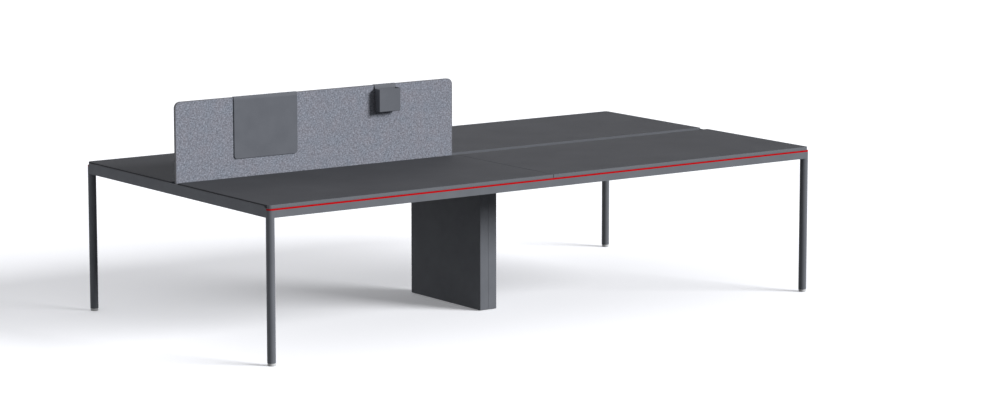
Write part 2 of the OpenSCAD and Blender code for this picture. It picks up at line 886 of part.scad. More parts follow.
// Bracket between the inner rails, with a blade up into the screen
module screen_bracket(x) {
    x0 = x - bracket_w / 2;
    x1 = x + bracket_w / 2;
    difference() {
        union() {
            block([x0, -bracket_y, bracket_z0], [x1, bracket_y, bracket_z0 + bracket_t]);
            block([x0, -bracket_y, bracket_z0], [x1, -bracket_y + bracket_t, frame_z1]);
            block([x0, bracket_y - bracket_t, bracket_z0], [x1, bracket_y, frame_z1]);
            block(
                [x - blade_w / 2, -blade_t / 2, bracket_z0],
                [x + blade_w / 2, blade_t / 2, screen_z0 + blade_in]
            );
        }
        for (side_y = [-1, 1]) {
            quarter(1, side_y) at_bracket_screws(x) screw_hole(screw_d, bracket_t);
        }
    }
}

module screen_brackets() {
    color(coat) {
        for (x = bracket_xs) screen_bracket(x);
    }
}

module bracket_screws() {
    shank = bracket_t + seat_gap + inner_rail_wall + bolt_reach;
    color(zinc) {
        for (x = bracket_xs, side_y = [-1, 1]) {
            quarter(1, side_y) at_bracket_screws(x) cap_screw(screw_d, shank);
        }
    }
}

// Folded profile in Y and Z, run along X
module fold(x0, width, points) {
    translate([x0, 0, 0]) rotate([90, 0, 90]) linear_extrude(width) polygon(points);
}

// Hook over the screen's top edge, from the face of a hanging piece upwards
module hook(x0, width, face_y, z) {
    fold(x0, width, [
        [face_y, z - sheet_t],
        [face_y, z],
        [-hook_y - sheet_t, hook_z + sheet_t],
        [hook_y + sheet_t, hook_z + sheet_t],
        [hook_y + sheet_t, hook_z - hook_drop],
        [hook_y, hook_z - hook_drop],
        [hook_y, hook_z],
        [-hook_y, hook_z],
        [face_y + sheet_t, z],
        [face_y + sheet_t, z - sheet_t]
    ]);
}

// Front outline of the board, rounded at its lower corners
module board_outline(inset) {
    x0 = board_x0 + inset;
    x1 = board_x0 + board_w - inset;
    z0 = board_z0 + inset;
    r = board_corner_r - inset;
    translate([x0, z0 + r]) square([x1 - x0, board_z1 - z0 - r]);
    translate([x0 + r, z0]) square([x1 - x0 - 2 * r, board_z1 - z0]);
    for (x = [x0 + r, x1 - r]) {
        translate([x, z0 + r]) circle(r = r);
    }
}

module hanging_board() {
    face_y = -hook_y - board_depth;
    color(coat_light) {
        union() {
            difference() {
                upright(face_y, -hook_y) board_outline(0);
                upright(face_y + sheet_t, -hook_y + 1) board_outline(sheet_t);
            }
            hook(board_x0, board_w, face_y, board_z1);
        }
    }
}

// Box with its back clear of the screen; its floor reaches back and leans on the felt
module hanging_box() {
    x1 = box_x0 + box_w;
    front_y = -hook_y - box_depth;
    back_y = -hook_y - box_back_gap;
    color(coat_light) {
        union() {
            difference() {
                block([box_x0, front_y, box_z0], [x1, back_y, box_z1]);
                block(
                    [box_x0 + sheet_t, front_y + sheet_t, box_z0 + sheet_t],
                    [x1 - sheet_t, back_y - sheet_t, box_z1 + 1]
                );
            }
            block([box_x0, back_y - sheet_t, box_z0], [x1, -hook_y, box_z0 + sheet_t]);
            hook(box_x0, box_w, back_y - sheet_t, box_z1);
        }
    }
}

color(coat) quarter(1, -1) beam();  // front_beam
color(coat) beam();  // back_beam
color(coat) quarter(-1, 1) end_rail();  // left_end_rail
color(coat) end_rail();  // right_end_rail
color(coat) quarter(-1, -1) corner();  // corner_front_left
color(coat) quarter(1, -1) corner();  // corner_front_right
color(coat) quarter(-1, 1) corner();  // corner_back_left
color(coat) corner();  // corner_back_right
color(coat) quarter(-1, -1) leg();  // leg_front_left
color(coat) quarter(1, -1) leg();  // leg_front_right
color(coat) quarter(-1, 1) leg();  // leg_back_left
color(coat) leg();  // leg_back_right
color(zinc) quarters() leg_bolt();  // leg_bolts
color(zinc) quarters() leg_nut();  // leg_nuts
color(zinc) quarters() leg_socket();  // leg_sockets
corner_screws();
color(foot_grey) quarter(-1, -1) leg_foot();  // foot_front_left
color(foot_grey) quarter(1, -1) leg_foot();  // foot_front_right
color(foot_grey) quarter(-1, 1) leg_foot();  // foot_back_left
color(foot_grey) leg_foot();  // foot_back_right
accent_strip(-1);  // front_accent_strip
accent_strip(1);  // back_accent_strip
crossbeam();
frame_bolts();
color(coat) quarter(-1, -1) inner_rail(true);  // inner_rail_front_left
color(coat) quarter(1, -1) inner_rail(false);  // inner_rail_front_right
color(coat) quarter(-1, 1) inner_rail(true);  // inner_rail_back_left
color(coat) inner_rail(false);  // inner_rail_back_right
color(coat) quarter(-1, 1) cable_tray();  // cable_tray_left
color(coat) cable_tray();  // cable_tray_right
tray_screws();
cable_leg_frame();
color(coat) quarter(-1, 1) cable_leg_shell();  // cable_leg_left_shell
color(coat) cable_leg_shell();  // cable_leg_right_shell
cable_leg_bolts();
color(foot_grey) quarter(-1, -1) base_foot();  // base_foot_front_left
color(foot_grey) quarter(1, -1) base_foot();  // base_foot_front_right
color(foot_grey) quarter(-1, 1) base_foot();  // base_foot_back_left
color(foot_grey) base_foot();  // base_foot_back_right
quarter(-1, -1) worktop();  // worktop_front_left
quarter(1, -1) worktop();  // worktop_front_right
quarter(-1, 1) worktop();  // worktop_back_left
worktop();  // worktop_back_right
quarter(-1, -1) sliders();  // sliders_front_left
quarter(1, -1) sliders();  // sliders_front_right
quarter(-1, 1) sliders();  // sliders_back_left
sliders();  // sliders_back_right
slide_channels_end(-1);  // slide_channels_left_end
slide_channels_centre();
slide_channels_end(1);  // slide_channels_right_end
screen_core();
screen_felt(-screen_t / 2);  // screen_front_felt
screen_felt(core_t / 2);  // screen_back_felt
screen_edging();
screen_brackets();
bracket_screws();
hanging_board();
hanging_box();
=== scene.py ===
import json
import math

import bmesh
import bpy
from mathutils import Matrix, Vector


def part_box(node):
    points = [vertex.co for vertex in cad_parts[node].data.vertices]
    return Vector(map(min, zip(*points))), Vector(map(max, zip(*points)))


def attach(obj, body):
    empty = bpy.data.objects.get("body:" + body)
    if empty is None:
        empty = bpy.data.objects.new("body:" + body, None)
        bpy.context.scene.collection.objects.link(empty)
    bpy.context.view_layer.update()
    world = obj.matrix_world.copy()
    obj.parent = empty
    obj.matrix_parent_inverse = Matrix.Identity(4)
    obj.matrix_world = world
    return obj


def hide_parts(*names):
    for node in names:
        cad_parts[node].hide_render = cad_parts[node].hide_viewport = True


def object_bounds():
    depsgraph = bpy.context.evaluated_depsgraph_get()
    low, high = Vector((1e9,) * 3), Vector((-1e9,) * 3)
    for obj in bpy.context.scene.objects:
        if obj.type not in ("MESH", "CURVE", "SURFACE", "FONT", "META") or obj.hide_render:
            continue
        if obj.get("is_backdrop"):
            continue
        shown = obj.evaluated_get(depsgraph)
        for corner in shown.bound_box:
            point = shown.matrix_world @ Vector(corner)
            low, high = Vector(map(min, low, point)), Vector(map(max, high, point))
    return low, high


# A four-place bench desk: grey laminate tops and powder-coated steel, a red strip round the
# frame, a felt screen with a board and a small box hung on it. Sizes here are millimetres,
# turned to metres with MM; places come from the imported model.
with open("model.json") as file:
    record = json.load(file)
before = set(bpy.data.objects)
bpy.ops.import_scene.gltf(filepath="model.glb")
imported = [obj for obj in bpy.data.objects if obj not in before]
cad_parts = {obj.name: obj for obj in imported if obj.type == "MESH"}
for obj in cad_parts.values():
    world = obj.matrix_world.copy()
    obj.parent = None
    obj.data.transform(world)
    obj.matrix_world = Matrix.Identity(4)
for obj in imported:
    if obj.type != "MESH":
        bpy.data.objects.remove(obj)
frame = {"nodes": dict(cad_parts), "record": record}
cad_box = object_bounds()
MM = 0.001
QUARTERS = ("front_left", "front_right", "back_left", "back_right")

# The camera: place in metres, heading from +Y towards +X and tilt in degrees, lens in
# millimetres, and how far it sees in metres
CAMERA_PLACE = (-9.807, -14.049, 3.241)
CAMERA_HEADING = 35.694
CAMERA_TILT = -9.061
CAMERA_LENS = 125.75
CAMERA_SIGHT = 500

# Light: lamp name, the place it shines from, strength in W/m2, width in degrees and whether it
# lights the desk or the floor. The key comes from the front right, two wide lamps from behind
# fill in what it leaves dark, and the floor has a wider key and a sky of its own for the
# soft shadow under the desk.
LAMPS = [
    ("key", (0.74, -1.0, 0.52), 4.07, 20, "desk"),
    ("left_fill", (-1.0, 0.4, 0.35), 0.54, 60, "desk"),
    ("back_fill", (0.6, 1.0, 0.5), 1.35, 60, "desk"),
    ("floor_key", (0.76, -1.0, 0.41), 5.9, 32, "floor"),
    ("floor_sky", (0.0, 0.0, 1.0), 0.62, 170, "floor"),
]
SKY_STRENGTH = 0.3
FLOOR_GLOW = 0.2
# From the floor's middle to its sides, in metres
FLOOR_REACH = 120

# Finishes, as sRGB
DESK_GREY = "#61646a"
LAMINATE_GREY = "#4a4b4f"
EDGE_BAND_GREY = "#5d6066"
# The band along the cable channel is darkened as painted shade for the channel it lines
SHADED_CHANNEL_EDGE_GREY = "#54575d"
BOARD_GREY = "#5a5d64"
STRIP_RED = "#af040d"
FELT_DARK = "#565b64"
FELT_MID = "#777c87"
FELT_WARM = "#7c7c85"
FELT_LIGHT = "#9fa4b0"
EDGING_GREY = "#5f6065"
ZINC = "#b9bcc0"
FOOT_GREY = "#bdbec0"
NYLON_BLACK = "#232325"
ALUMINIUM = "#9a9da2"
MDF_BROWN = "#8a7a63"
FLOOR_WHITE = "#f5f6fa"
# What the floor throws back on the desk, which is less than its white would
FLOOR_BOUNCE = "#5d5d5d"

# Noise seldom leaves this span, so two tones are blended over it
NOISE_SPAN = (0.3, 0.7)
# A Mix node's colour sockets, by number because its other sockets have the same names
MIX_A = 6
MIX_B = 7
MIX_RESULT = 2


def linear(hex_colour):
    """An sRGB hex colour as linear red, green, blue and alpha."""
    parts = [int(hex_colour[i:i + 2], 16) / 255 for i in (1, 3, 5)]
    return (*[c / 12.92 if c <= 0.04045 else ((c + 0.055) / 1.055) ** 2.4 for c in parts], 1.0)


def toned(hex_colour, share):
    """A hex colour made lighter or darker by a share of itself, as linear values."""
    parts = [int(hex_colour[i:i + 2], 16) for i in (1, 3, 5)]
    return linear("#" + "".join(f"{min(255, round(p * share)):02x}" for p in parts))


def add(tree, kind, inputs=None, **settings):
    """Adds a node with its settings; an input takes a value, another node's output or several."""
    node = tree.nodes.new(kind)
    for name, value in settings.items():
        setattr(node, name, value)
    for socket, given in (inputs or {}).items():
        for value in given if isinstance(given, list) else [given]:
            if isinstance(value, bpy.types.NodeSocket):
                tree.links.new(value, node.inputs[socket])
            else:
                node.inputs[socket].default_value = value
    return node


def new_material(name):
    """An empty material and its tree."""
    material = bpy.data.materials.new(name)
    material.use_nodes = True
    material.node_tree.nodes.clear()
    return material, material.node_tree


def drifting_colour(tree, place, size, detail, tones):
    """Two tones that blend into each other over clouds of a size in millimetres."""
    clouds = add(tree, "ShaderNodeTexNoise", {
        "Vector": place, "Scale": 1 / (size * MM), "Detail": detail,
    })
    share = add(tree, "ShaderNodeMapRange", {
        "Value": clouds.outputs["Fac"], "From Min": NOISE_SPAN[0], "From Max": NOISE_SPAN[1],
    })
    blend = add(tree, "ShaderNodeMix", {
        "Factor": share.outputs["Result"], MIX_A: tones[0], MIX_B: tones[1],
    }, data_type="RGBA")
    return blend.outputs[MIX_RESULT]


def finish(name, colour, cloud, drift, grain, depth, roughness, stretch=(1, 1, 1), **settings):
    """A surface whose colour drifts by a share of itself over clouds, with its grain in relief.

    The cloud, the grain and the grain's depth are in millimetres, and the roughness runs from
    a low to a high value with the grain. Both patterns stand still on the piece.
    """
    material, tree = new_material(name)
    place = add(tree, "ShaderNodeTexCoord").outputs["Object"]
    tones = (toned(colour, 1 - drift), toned(colour, 1 + drift))
    lying = add(tree, "ShaderNodeMapping", {"Vector": place, "Scale": stretch})
    grains = add(tree, "ShaderNodeTexNoise", {
        "Vector": lying.outputs["Vector"], "Scale": 1 / (grain * MM), "Detail": 2.0,
    })
    rough = add(tree, "ShaderNodeMapRange", {
        "Value": grains.outputs["Fac"], "To Min": roughness[0], "To Max": roughness[1],
    })
    bumps = add(tree, "ShaderNodeBump", {
        "Height": grains.outputs["Fac"], "Distance": depth * MM, "Strength": 1.0,
    })
    shader = add(tree, "ShaderNodeBsdfPrincipled", {
        "Base Color": drifting_colour(tree, place, cloud, 3.0, tones),
        "Roughness": rough.outputs["Result"], "Normal": bumps.outputs["Normal"], **settings,
    })
    add(tree, "ShaderNodeOutputMaterial", {"Surface": shader.outputs["BSDF"]})
    return material


# Textured powder coat: sprayed and baked, so matt, with a fine orange peel about 1 mm across.
# It is drawn at 2.5 mm, and cloudy patches of 90 mm keep large faces from looking flat.
COAT_LOOK = {
    "cloud": 90, "drift": 0.03, "grain": 2.5, "depth": 0.12, "roughness": (0.56, 0.74),
    "Specular IOR Level": 0.2,
}
COAT = finish("grey_powder_coat", DESK_GREY, **COAT_LOOK)
BOARD_COAT = finish("dark_grey_powder_coat", BOARD_GREY, **COAT_LOOK)

# Matt laminate pressed on board: a pearl texture of 0.8 mm, drawn at 2 mm, almost without sheen
LAMINATE = finish(
    "grey_matt_laminate", LAMINATE_GREY, cloud=260, drift=0.03, grain=2, depth=0.05,
    roughness=(0.75, 0.88), **{"Specular IOR Level": 0.01},
)

# Extruded or moulded plastics: satin, with faint flow marks 6 mm across and a grain of 0.8 mm.
# The band at the cable channel is a darker grey than the one at the user's edge, which paints the
# channel's shade on it; the screen's edging is duller, and the red strip has next to no sheen, so
# that it stays deep red.
PLASTIC_LOOK = {
    "cloud": 6, "drift": 0.04, "grain": 0.8, "depth": 0.02, "roughness": (0.44, 0.56),
    "Specular IOR Level": 0.25,
}
EDGE_BAND = finish("grey_abs_edge_band", EDGE_BAND_GREY, **PLASTIC_LOOK)
SHADED_CHANNEL_EDGE = finish("abs_channel_band_painted_shade", SHADED_CHANNEL_EDGE_GREY, **PLASTIC_LOOK)
RED_PVC = finish("red_pvc_strip", STRIP_RED, **{**PLASTIC_LOOK, "Specular IOR Level": 0.02})
EDGING = finish("dark_grey_abs_edging", EDGING_GREY, **{**PLASTIC_LOOK, "roughness": (0.56, 0.68)})
FOOT_PLASTIC = finish("pale_grey_polyamide", FOOT_GREY, **PLASTIC_LOOK)
NYLON = finish("black_nylon", NYLON_BLACK, **PLASTIC_LOOK)

# Bright zinc plate on turned steel: a metal, a little cloudy, with turning marks of 1.5 mm
ZINC_PLATE = finish(
    "bright_zinc_plate", ZINC, cloud=5, drift=0.03, grain=1.5, depth=0.015,
    roughness=(0.26, 0.44), Metallic=1.0,
)

# Natural anodised aluminium, extruded along Y: fine drawing lines of 0.8 mm run that way
ALUMINIUM_COAT = finish(
    "anodised_aluminium_extrusion", ALUMINIUM, cloud=40, drift=0.02, grain=0.8, depth=0.02,
    roughness=(0.3, 0.5), stretch=(1, 0.01, 1), Metallic=1.0,
)

# Sawn MDF: brown fibres with no direction, about 1 mm across, dull
MDF = finish(
    "raw_mdf", MDF_BROWN, cloud=1.2, drift=0.1, grain=1.2, depth=0.08, roughness=(0.8, 0.9),
)

# Needled polyester felt: fibres of several greys, some bluish and some warm, lie in all
# directions. Tufts 2 mm across are drawn at 6 mm, so that the melange shows, over clouds of
# 60 mm that turn it a little warmer or cooler. It is dull, with a soft sheen.
TUFT = 6
TUFT_WAYS = ((0.5, 1, 1.2), (1.2, 1, 0.5))
TUFT_RELIEF = 0.8
FELT_CLOUD = 60
# Where its dark, middle and light fibres lie in the noise
FELT_STOPS = (0.36, 0.5, 0.64)


def felt():
    material, tree = new_material("grey_melange_felt")
    place = add(tree, "ShaderNodeTexCoord").outputs["Object"]
    tufts = []
    for stretch in TUFT_WAYS:
        lying = add(tree, "ShaderNodeMapping", {"Vector": place, "Scale": stretch})
        fibres = add(tree, "ShaderNodeTexNoise", {
            "Vector": lying.outputs["Vector"], "Scale": 1 / (TUFT * MM),
            "Detail": 3.0, "Roughness": 0.75,
        })
        tufts.append(fibres.outputs["Fac"])
    total = add(tree, "ShaderNodeMath", {0: tufts[0], 1: tufts[1]}, operation="ADD")
    mean = add(tree, "ShaderNodeMath", {0: total.outputs["Value"], 1: 0.5}, operation="MULTIPLY")
    tones = []
    for middle in (FELT_MID, FELT_WARM):
        ramp = add(tree, "ShaderNodeValToRGB", {"Fac": mean.outputs["Value"]})
        stops = ramp.color_ramp.elements
        stops.new(FELT_STOPS[1])
        for stop, at, colour in zip(stops, FELT_STOPS, (FELT_DARK, middle, FELT_LIGHT)):
            stop.position = at
            stop.color = linear(colour)
        tones.append(ramp.outputs["Color"])
    bumps = add(tree, "ShaderNodeBump", {
        "Height": mean.outputs["Value"], "Distance": TUFT_RELIEF * MM, "Strength": 1.0,
    })
    shader = add(tree, "ShaderNodeBsdfPrincipled", {
        "Base Color": drifting_colour(tree, place, FELT_CLOUD, 2.0, tones),
        "Roughness": 0.95, "Specular IOR Level": 0.1,
        "Sheen Weight": 0.08, "Sheen Roughness": 0.6, "Normal": bumps.outputs["Normal"],
    })
    add(tree, "ShaderNodeOutputMaterial", {"Surface": shader.outputs["BSDF"]})
    return material


FELT = felt()

SLOT_MATERIALS = {
    "powder_coat": COAT,
    "powder_coat_accessory": BOARD_COAT,
    "worktop_laminate": LAMINATE,
    "accent_red": RED_PVC,
    "screen_felt": FELT,
    "edging_grey": EDGING,
    "core_board": MDF,
    "foot_plastic": FOOT_PLASTIC,
    "zinc_steel": ZINC_PLATE,
    "anodised_aluminium": ALUMINIUM_COAT,
    "black_nylon": NYLON,
}
NODE_SLOTS = {part["node"]: part["material_slot"] for part in frame["record"]["subparts"]}
NODE_BODIES = {
    node: body for body, nodes in frame["record"]["behaviour"]["bodies"].items() for node in nodes
}

# Points closer than SAME_POINT are joined, and so are faces that meet at less than SAME_FACE,
# in degrees
SAME_POINT = 0.01
SAME_FACE = 0.5


def merged_copy(node):
    """A CAD node's mesh with its loose triangles joined, as a bmesh."""
    bm = bmesh.new()
    bm.from_mesh(frame["nodes"][node].data)
    bmesh.ops.remove_doubles(bm, verts=bm.verts, dist=SAME_POINT * MM)
    return bm


def piece(name, bm, material, node, slot=None, replaces=True):
    """Turns a bmesh into a piece with the given material, riding with the CAD node it stands for,
    which it hides if it replaces it.
    """
    mesh = bpy.data.meshes.new(name)
    bm.to_mesh(mesh)
    bm.free()
    mesh.materials.clear()
    mesh.materials.append(material)
    mesh.polygons.foreach_set("use_smooth", [True] * len(mesh.polygons))
    mesh.polygons.foreach_set("material_index", [0] * len(mesh.polygons))
    made = bpy.data.objects.new(name, mesh)
    bpy.context.scene.collection.objects.link(made)
    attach(made, NODE_BODIES[node])
    slot or NODE_SLOTS[node]
    if replaces:
        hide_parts(node)
    return made


def keep_sharp(made, angle):
    """Keeps a piece's edges sharp to the light where they turn by more than an angle in degrees."""
    made.data.set_sharp_from_angle(angle=math.radians(angle))


def round_edges(made, radius, segments=2, angle=30):
    """Rounds a piece's sharp edges, and keeps its flat faces flat to the light."""
    bevel = made.modifiers.new("rounded_edges", "BEVEL")
    bevel.width = radius * MM
    bevel.segments = segments
    bevel.limit_method = "ANGLE"
    bevel.angle_limit = math.radians(angle)
    bevel.miter_outer = "MITER_ARC"
    flat = made.modifiers.new("flat_faces", "WEIGHTED_NORMAL")
    flat.mode = "FACE_AREA"
    flat.weight = 100
    flat.keep_sharp = True


def softened(node, radius):
    """The node's own shape with its sharp edges rounded."""
    bm = merged_copy(node)
    bmesh.ops.dissolve_limit(
        bm, angle_limit=math.radians(SAME_FACE), verts=bm.verts, edges=bm.edges,
    )
    made = piece(node + "_finished", bm, SLOT_MATERIALS[NODE_SLOTS[node]], node)
    round_edges(made, radius)


def arc(centre, radius, start, end, steps):
    """Points on an arc in a plane, from one angle to another in degrees."""
    angles = [math.radians(start + (end - start) * i / steps) for i in range(steps + 1)]
    return [(centre[0] + radius * math.cos(a), centre[1] + radius * math.sin(a)) for a in angles]


def prism(bm, low, high):
    """A closed solid between two outlines with as many points."""
    low = [bm.verts.new(point) for point in low]
    high = [bm.verts.new(point) for point in high]
    bm.faces.new(low[::-1])
    bm.faces.new(high)
    for i in range(len(low)):
        j = (i + 1) % len(low)
        bm.faces.new((low[i], low[j], high[j], high[i]))


# Worktops: a laminated board whose ends are left in its darker laminate instead of a band, as
# painted shade of the gaps at the ends, and bands of 0.8 mm ABS, one along the user's edge and
# round its corner, one along the edge at the cable channel
TOP_CORNER_R = 16
TOP_CORNER_STEPS = 10
BAND_T = 0.8
BAND_EDGE_R = 0.3
BAND_SHARP = 30
BOARD_EDGE_R = 0.2


def user_edge(x0, x1, y1, inset):
    """Line of the user's edge, from the end of the corner's bend to the desk's middle."""
    r = TOP_CORNER_R * MM
    bend = arc((x1 - r, y1 - r), r - inset, 0, 90, TOP_CORNER_STEPS)
    return [*bend, (x0, y1 - inset)]


def worktop(node):
    """A worktop's board and bands, drawn for the back right and mirrored to their own quarter."""
    low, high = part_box(node)
    side_x = math.copysign(1, low.x + high.x)
    side_y = math.copysign(1, low.y + high.y)
    x0, x1 = sorted([abs(low.x), abs(high.x)])
    y0, y1 = sorted([abs(low.y), abs(high.y)])
    band = BAND_T * MM
    outer = user_edge(x0, x1, y1, 0)
    inner = user_edge(x0, x1, y1, band)
    outlines = {
        # The board's outline takes in its ends, so their darker laminate is painted shade
        "board": (LAMINATE, [(x0, y0 + band), (x1, y0 + band), outer[0], *inner]),
        "edge_band": (EDGE_BAND, outer + inner[::-1]),
        "channel_band": (SHADED_CHANNEL_EDGE, [(x0, y0), (x1, y0), (x1, y0 + band), (x0, y0 + band)]),
    }
    for what, (material, outline) in outlines.items():
        line = [(side_x * x, side_y * y) for x, y in outline]
        if side_x * side_y < 0:
            line.reverse()
        bm = bmesh.new()
        prism(bm, [(x, y, low.z) for x, y in line], [(x, y, high.z) for x, y in line])
        name = node.replace("worktop", "worktop_" + what)
        is_board = what == "board"
        made = piece(name, bm, material, node, replaces=is_board)
        if is_board:
            round_edges(made, BOARD_EDGE_R, segments=1)
        else:
            keep_sharp(made, BAND_SHARP)
            round_edges(made, BAND_EDGE_R)


for quarter in QUARTERS:
    worktop("worktop_" + quarter)

# Frame, trays, cable leg, screen trim and runners: the real shapes, with their edges rounded
# by a radius in millimetres
ROUNDED = {
    "front_beam": 1.0, "back_beam": 1.0, "left_end_rail": 1.0, "right_end_rail": 1.0,
    **{"corner_" + quarter: 1.0 for quarter in QUARTERS},
    **{"leg_" + quarter: 0.5 for quarter in QUARTERS},
    "front_accent_strip": 0.5, "back_accent_strip": 0.5, "crossbeam": 1.0,
    **{"inner_rail_" + quarter: 0.8 for quarter in QUARTERS},
    "cable_tray_left": 0.5, "cable_tray_right": 0.5, "cable_leg_frame": 0.8,
    "cable_leg_left_shell": 0.5, "cable_leg_right_shell": 0.5,
    **{"sliders_" + quarter: 0.5 for quarter in QUARTERS},
    **{"slide_channels_" + place: 0.5 for place in ("left_end", "centre", "right_end")},
    "screen_edging": 0.6, "screen_brackets": 0.8,
}
for node, radius in ROUNDED.items():
    softened(node, radius)

# Felt: a panel of 2 mm felt drawn tight over each face of the screen's core, its upper
# corners round
FELT_CORNER_R = 27.7
FELT_CORNER_STEPS = 12
FELT_RIM_R = 0.8


def felt_panel(node):
    low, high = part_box(node)
    r = FELT_CORNER_R * MM
    outline = [
        (low.x, low.z), (high.x, low.z),
        *arc((high.x - r, high.z - r), r, 0, 90, FELT_CORNER_STEPS),
        *arc((low.x + r, high.z - r), r, 90, 180, FELT_CORNER_STEPS),
    ]
    bm = bmesh.new()
    prism(bm, [(x, high.y, z) for x, z in outline], [(x, low.y, z) for x, z in outline])
    made = piece(node + "_panel", bm, FELT, node)
    round_edges(made, FELT_RIM_R, segments=3)


felt_panel("screen_front_felt")
felt_panel("screen_back_felt")

# Board and box: steel sheet of 1.5 mm, folded. Their faces lie in the middle of the sheet.
SHEET_T = 1.5
SHEET_EDGE_R = 0.3
BOARD_BEND_R = 1.5
BOX_BEND_R = 3
BEND_STEPS = 4
# Least turn in degrees of an edge that is a bend of the sheet, and of one where it is cut
LEAST_BEND = 25
CUT_EDGE = 60
BOARD_CORNER_R = 16
BOARD_CORNER_STEPS = 8
# From a hook's top down to its hem, and from the screen's top edge down to the board's shoulder
# and to the box's rim
HOOK_DROP = 31.5
BOARD_SHOULDER = 15
BOX_DROP = 18
# Between the box's back and the front of its hook
BOX_BACK_GAP = 6
HALF_SHEET = SHEET_T * MM / 2


def folded_sheet(node, faces, bend_r):
    """A sheet along the given faces, bent where they meet, with its cut edges broken."""
    bm = bmesh.new()
    for face in faces:
        bm.faces.new([bm.verts.new(point) for point in face])
    bmesh.ops.remove_doubles(bm, verts=bm.verts, dist=SAME_POINT * MM)
    bmesh.ops.recalc_face_normals(bm, faces=bm.faces)
    least = math.radians(LEAST_BEND)
    bends = [e for e in bm.edges if len(e.link_faces) == 2 and e.calc_face_angle() > least]
    bmesh.ops.bevel(bm, geom=bends, offset=bend_r * MM, offset_type="OFFSET",
                    segments=BEND_STEPS, profile=0.5, affect="EDGES")
    made = piece(node + "_folded", bm, BOARD_COAT, node)
    sheet = made.modifiers.new("sheet", "SOLIDIFY")
    sheet.thickness = SHEET_T * MM
    sheet.offset = 0
    sheet.use_even_offset = True
    round_edges(made, SHEET_EDGE_R, segments=1, angle=CUT_EDGE)


def strip(x0, x1, fold):
    """Faces from x0 to x1, one for each stretch of a fold in y and z."""
    return [
        [(x0, ya, za), (x1, ya, za), (x1, yb, zb), (x0, yb, zb)]
        for (ya, za), (yb, zb) in zip(fold, fold[1:])
    ]


def over_screen(high):
    """The fold over the screen's top edge, from its front to its hem at the back."""
    hook = high.y - HALF_SHEET
    top = high.z - HALF_SHEET
    return [(-hook, top), (hook, top), (hook, high.z - HOOK_DROP * MM)]


def hanging_board():
    """A sheet with a rim back to the felt on three sides, hooked over the screen."""
    low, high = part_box("hanging_board")
    screen_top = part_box("screen_edging")[1].z
    x0, x1, z0 = low.x + HALF_SHEET, high.x - HALF_SHEET, low.z + HALF_SHEET
    face = low.y + HALF_SHEET
    rim = -high.y + 2 * HALF_SHEET
    shoulder = screen_top - BOARD_SHOULDER * MM
    r = BOARD_CORNER_R * MM - HALF_SHEET
    edge = [
        (x0, shoulder),
        *arc((x0 + r, z0 + r), r, 180, 270, BOARD_CORNER_STEPS),
        *arc((x1 - r, z0 + r), r, 270, 360, BOARD_CORNER_STEPS),
        (x1, shoulder),
    ]
    faces = [[(x, face, z) for x, z in edge]]
    for (xa, za), (xb, zb) in zip(edge, edge[1:]):
        faces.append([(xa, face, za), (xa, rim, za), (xb, rim, zb), (xb, face, zb)])
    faces += strip(x0, x1, [(face, shoulder), *over_screen(high)])
    folded_sheet("hanging_board", faces, BOARD_BEND_R)


def hanging_box():
    """A box open at the top, hooked over the screen, whose floor leans on the felt."""
    low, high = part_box("hanging_box")
    screen_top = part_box("screen_edging")[1].z
    x0, x1, z0 = low.x + HALF_SHEET, high.x - HALF_SHEET, low.z + HALF_SHEET
    hook = over_screen(high)
    front = low.y + HALF_SHEET
    back = hook[0][0] - BOX_BACK_GAP * MM
    leaning = -high.y + 2 * HALF_SHEET
    rim = screen_top - BOX_DROP * MM
    faces = [
        [(x0, front, z0), (x1, front, z0), (x1, front, rim), (x0, front, rim)],
        [(x0, front, z0), (x1, front, z0), (x1, back, z0), (x0, back, z0)],
        [(x0, front, z0), (x0, back, z0), (x0, back, rim), (x0, front, rim)],
        [(x1, front, z0), (x1, back, z0), (x1, back, rim), (x1, front, rim)],
    ]
    faces += strip(x0, x1, [(back, z0), (back, rim), *hook])
    # The floor goes on behind the back, as a strip of its own, and leans on the felt
    faces += strip(x0, x1, [(back + HALF_SHEET, z0), (leaning, z0)])
    folded_sheet("hanging_box", faces, BOX_BEND_R)


hanging_board()
hanging_box()

# Levelling feet: a moulded disc on a threaded stud of zinc-plated steel, screwed into its
# socket. The stud starts a little way down in the disc.
LEG_DISC_H = 12.7
BASE_DISC_H = 10
DISC_EDGE_R = 1.5
DISC_EDGE_STEPS = 4
DISC_SIDES = 48
DISC_SHARP = 40
STUD_R = 5
STUD_SINK = 1
STUD_SHARP = 50
STUD_SLOT = "zinc_steel"
THREAD_PITCH = 1.5
THREAD_DEPTH = 0.7
THREAD_SIDES = 24
# Rings of points in each pitch
THREAD_RINGS = 6


def ring(bm, centre, radii, z):
    """Points round an upright axis, each at its own radius."""
    made = []
    for i, r in enumerate(radii):
        angle = 2 * math.pi * i / len(radii)
        place = (centre.x + r * math.cos(angle), centre.y + r * math.sin(angle), z)
        made.append(bm.verts.new(place))
    return made


def join_rings(bm, rings):
    """The wall between rings of as many points, from the lowest up."""
    for here, there in zip(rings, rings[1:]):
        for i in range(len(here)):
            j = (i + 1) % len(here)
            bm.faces.new((here[i], here[j], there[j], there[i]))


def turned(bm, profile, centre):
    """A closed solid of revolution; its profile runs from the axis up and back to the axis."""
    bottom, top = [bm.verts.new((centre.x, centre.y, profile[i][1])) for i in (0, -1)]
    rings = [ring(bm, centre, [r] * DISC_SIDES, z) for r, z in profile[1:-1]]
    for i in range(DISC_SIDES):
        j = (i + 1) % DISC_SIDES
        bm.faces.new((bottom, rings[0][j], rings[0][i]))
        bm.faces.new((top, rings[-1][i], rings[-1][j]))
    join_rings(bm, rings)


